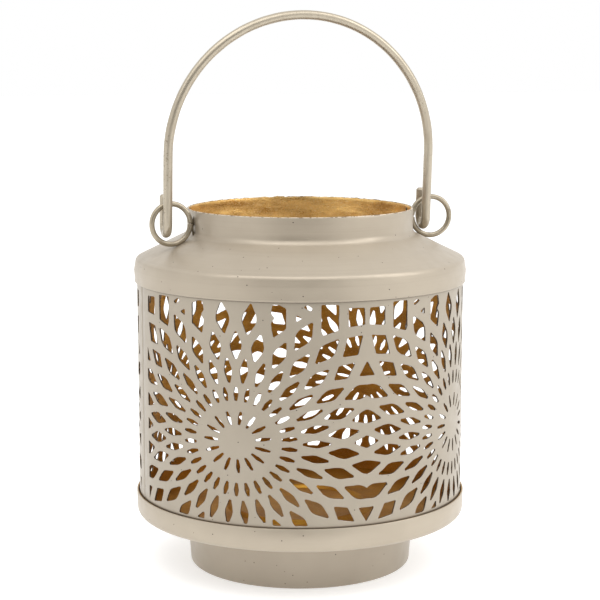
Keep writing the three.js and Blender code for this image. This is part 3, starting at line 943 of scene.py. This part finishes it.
def gold_paint(name, colors, painted_glint, shine):
    """Rough gold paint inside: thick, hammered by the spray, with painted glints where its grain is lightened
    towards a pale gold.

    shine is its least roughness.
    """
    nodes = Nodes(name)
    cloud = nodes.noise(scale=1, detail=4, roughness=0.6, stretch=(60, 60, 190))
    color = nodes.blend(nodes.ramp(cloud, *MOTTLE_RANGE), *colors)
    grain = nodes.noise(scale=1, detail=3, roughness=0.65, stretch=(1400, 1400, 3400))
    # painted glints: the grain lightened towards pale gold
    color = nodes.blend(nodes.ramp(grain, low=0.5, high=0.75, to_high=painted_glint), color, PAINTED_GLINT_COLOR)
    lumps = nodes.noise(scale=1, detail=3, roughness=0.5, stretch=(160, 160, 420))
    normal = nodes.bump(lumps, distance=0.4 * MM, strength=0.5)
    normal = nodes.bump(grain, distance=0.08 * MM, strength=0.8, under=normal)
    roughness = nodes.ramp(grain, *SHINE_RANGE, to_low=shine, to_high=shine + GOLD_SHINE_SPREAD)
    return nodes.finish(color, roughness, metallic=0.82, normal=normal)


def edge_paint(name, colors, cover):
    """Cut edges: thin overspray on bare, speckled metal; with the sleeve's very dark colours it is also
    painted shade on the openings' walls. More cover leaves fewer dark specks.
    """
    nodes = Nodes(name)
    patch = nodes.noise(scale=700, detail=3, roughness=0.6)
    color = nodes.blend(nodes.ramp(patch, BARE_BELOW - cover, PAINTED_ABOVE - cover), *colors)
    normal = nodes.bump(patch, distance=0.12 * MM, strength=0.9)
    return nodes.finish(color, roughness=0.5, metallic=0.35, normal=normal)


def wire_paint(name, colors, worn, grain_depth, chipped_at=None):
    """Painted wire: a little mottled, rubbed darker and browner in places, and chipped around one point."""
    nodes = Nodes(name)
    mottle = nodes.noise(scale=180, detail=3, roughness=0.6)
    color = nodes.blend(nodes.ramp(mottle, *MOTTLE_RANGE), *colors)
    rub = nodes.noise(scale=420, detail=3, roughness=0.6)
    color = nodes.blend(nodes.ramp(rub, low=0.62, high=0.74, to_high=worn), color, RUBBED_COLOR)
    grain = nodes.noise(scale=1500, detail=3, roughness=0.6)
    if chipped_at:
        likelier = nodes.math("MULTIPLY", nodes.near_point(chipped_at, CHIPPED_REACH), CHIP_LIKELIER)
        chips = nodes.math("ADD", grain, likelier)
        color = nodes.blend(nodes.ramp(chips, low=0.66, high=0.74, to_high=CHIP_COVER), color, CHIP_COLOR)
    normal = nodes.bump(grain, grain_depth, strength=0.6)
    roughness = nodes.ramp(mottle, *SHINE_RANGE, to_low=0.26, to_high=0.36)
    return nodes.finish(color, roughness, metallic=0.6, normal=normal)


def floor_material():
    """A white, barely mottled surface that glows a little."""
    nodes = Nodes("pale_floor")
    color = nodes.blend(nodes.noise(scale=6, detail=2), *FLOOR_WHITE)
    nodes.set(nodes.shader, "Emission Color", WHITE)
    nodes.set(nodes.shader, "Emission Strength", FLOOR_GLOW)
    normal = nodes.bump(nodes.noise(scale=500), distance=0.02 * MM, strength=0.1)
    return nodes.finish(color, roughness=0.9, metallic=0.0, normal=normal)


def flag_material(name):
    """Black card that reflects almost nothing."""
    nodes = Nodes(name)
    normal = nodes.bump(nodes.noise(scale=20), distance=0.1 * MM)
    return nodes.finish(FLAG_BLACK, roughness=0.9, metallic=0.0, normal=normal)


def give(obj, *materials):
    """Adds an object's materials, in the order of their numbers."""
    for material in materials:
        obj.data.materials.append(material)


# ---- stage ----

def card(name, width, height):
    """A flat rectangle around the origin, facing up."""
    x, y = width / 2, height / 2
    mesh = bpy.data.meshes.new(name)
    mesh.from_pydata([(-x, -y, 0), (x, -y, 0), (x, y, 0), (-x, y, 0)], [], [(0, 1, 2, 3)])
    obj = bpy.data.objects.new(name, mesh)
    bpy.context.scene.collection.objects.link(obj)
    return obj


def face_holder(obj, azimuth_deg, elevation_deg, distance):
    """Puts a light or a card around the holder, facing it."""
    azimuth, elevation = math.radians(azimuth_deg), math.radians(elevation_deg)
    way = Vector((
        math.sin(azimuth) * math.cos(elevation),
        -math.cos(azimuth) * math.cos(elevation),
        math.sin(elevation),
    ))
    obj.location = Vector((0, 0, LIT_HEIGHT)) + way * distance
    obj.rotation_mode = "QUATERNION"
    obj.rotation_quaternion = (-way).to_track_quat("-Z", "Y")


def floor():
    obj = card("floor", FLOOR_SIZE, FLOOR_SIZE)
    give(obj, floor_material())


def softbox(name, azimuth_deg, elevation_deg, width, height, power):
    """An area light that faces the holder."""
    light = bpy.data.lights.new(name, "AREA")
    light.shape = "RECTANGLE"
    light.size = width
    light.size_y = height
    light.energy = power
    obj = bpy.data.objects.new(name, light)
    bpy.context.scene.collection.objects.link(obj)
    face_holder(obj, azimuth_deg, elevation_deg, SOFTBOX_DISTANCE)


def flag():
    """A black card in front that darkens what the holder reflects. The camera doesn't see it."""
    obj = card("front_flag", FLAG_WIDTH, FLAG_HEIGHT)
    face_holder(obj, CAMERA_AZIMUTH_DEG, FLAG_ELEVATION_DEG, FLAG_DISTANCE)
    give(obj, flag_material("front_flag"))
    obj.visible_camera = False


def lights():
    """A white world, three softboxes and the flag."""
    world = bpy.data.worlds.new("studio")
    world.use_nodes = True
    background = world.node_tree.nodes["Background"]
    background.inputs["Color"].default_value = WHITE
    background.inputs["Strength"].default_value = WORLD_STRENGTH
    bpy.context.scene.world = world
    for settings in SOFTBOXES:
        softbox(**settings)
    flag()


def camera():
    """The camera, in front and a little to the left, looking slightly down."""
    data = bpy.data.cameras.new("camera")
    data.lens = CAMERA_LENS
    data.sensor_width = CAMERA_SENSOR
    data.clip_start = CAMERA_NEAREST
    obj = bpy.data.objects.new("camera", data)
    obj.location = -AWAY * CAMERA_DISTANCE + Vector((0, 0, CAMERA_HEIGHT))
    look = AWAY * math.cos(CAMERA_PITCH) - Vector((0, 0, math.sin(CAMERA_PITCH)))
    obj.rotation_mode = "QUATERNION"
    obj.rotation_quaternion = look.to_track_quat("-Z", "Y")
    bpy.context.scene.collection.objects.link(obj)
    bpy.context.scene.camera = obj


# ---- assembly ----

bpy.context.scene.view_settings.view_transform = "Standard"
camera()
lights()
floor()

# heights where a contact shadow is painted on the sleeve, under the hem and over the pan's lip
seams = (collar_low.z - SEAM_SHADOW_OFFSET, pan_high.z + SEAM_SHADOW_OFFSET)
spun_outside = greige_paint("greige_spun_paint", SPUN_GREIGE, spin=0.6)
pressed_outside = greige_paint("greige_pressed_paint", PRESSED_GREIGE, spin=0.15)
# a darker copy of the greige: painted shade on the foot
shaded_foot_outside = greige_paint("greige_foot_paint_shaded", SHADED_FOOT_GREIGE, spin=0.15)
sheet_outside = greige_paint("greige_sheet_paint", SHEET_GREIGE, spin=0.0, shadowed_heights=seams)
# lit and shaded copies of one gold: painted highlight in the neck, painted shade in the sleeve
lit_neck_gold = gold_paint("gold_neck_paint_lit", LIT_NECK_GOLD, painted_glint=0.65, shine=0.24)
shaded_sleeve_gold = gold_paint("gold_sleeve_paint_shaded", SHADED_SLEEVE_GOLD, painted_glint=0.22, shine=0.34)
pan_gold = gold_paint("gold_pan_paint", PAN_GOLD, painted_glint=0.1, shine=0.3)
# bare cut edges, darkened also as painted shade in the openings
cut = edge_paint("cut_edges_and_shade", CUT_BROWN_AND_SHADE, cover=0.04)
trimmed = edge_paint("trimmed_rim", RIM_BROWN, cover=0.1)
ring_finish = wire_paint("ring_paint", RING_GREIGE, worn=0.8, grain_depth=0.05 * MM)
# solder, darkened also as painted shadow beside the rings
solder_and_shadow_finish = wire_paint("solder_and_shadow_paint", SOLDER_BROWN_AND_SHADOW, worn=0.9, grain_depth=0.2 * MM)
bail_low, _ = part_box("bail_handle")
left_leg = [low + shift for low, shift in zip(bail_low, CHIPPED_FROM_BOX)]
bail_finish = wire_paint("bail_paint", BAIL_GREIGE, worn=0.12, grain_depth=0.006 * MM, chipped_at=left_leg)

give(foot(), shaded_foot_outside, shaded_foot_outside)
give(pan(), pressed_outside, pan_gold)
give(sleeve(), sheet_outside, shaded_sleeve_gold, cut)
give(shoulder(), spun_outside, lit_neck_gold, trimmed)
give(ring("ring_left", "left_ring"), ring_finish)
give(ring("ring_right", "right_ring"), ring_finish)
give(solder("solder_left", "left_ring"), solder_and_shadow_finish)
give(solder("solder_right", "right_ring"), solder_and_shadow_finish)
give(bail(), bail_finish)
